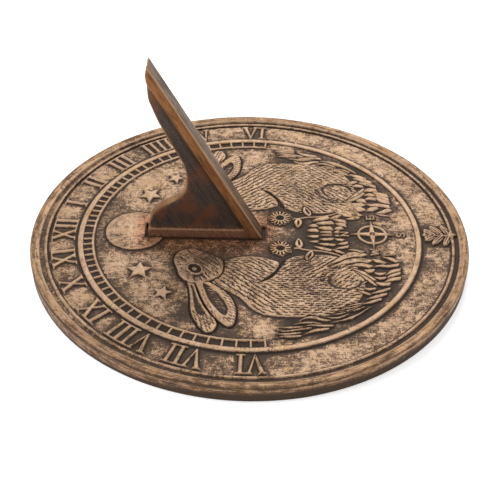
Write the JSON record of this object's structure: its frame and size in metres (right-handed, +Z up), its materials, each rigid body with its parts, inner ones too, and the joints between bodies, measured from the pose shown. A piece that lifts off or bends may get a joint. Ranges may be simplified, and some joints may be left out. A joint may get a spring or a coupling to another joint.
{
  "type": "garden sundial",
  "caption": "Round cast garden sundial: a dial plate in low relief with Roman hour numerals and a leaning, flanged gnomon screwed on from below.",
  "frame": {"origin": "centre of the round plate's underside, on the plane that it rests on", "axes": "+Z up out of the dial; +Y to the noon mark, which is north in use; +X to the afternoon hours, which is east"},
  "size_m": [0.25, 0.25, 0.118],
  "materials": {
    "plate_bronze": "satin",
    "gnomon_bronze": "satin",
    "fixings": "satin"
  },
  "bodies": {
    "root": {"dial_plate": "plate_bronze", "gnomon": "gnomon_bronze", "gnomon_screw_north": "fixings", "gnomon_screw_south": "fixings", "flat_washer_north": "fixings", "flat_washer_south": "fixings", "lock_washer_north": "fixings", "lock_washer_south": "fixings"}
  },
  "joints": []
}
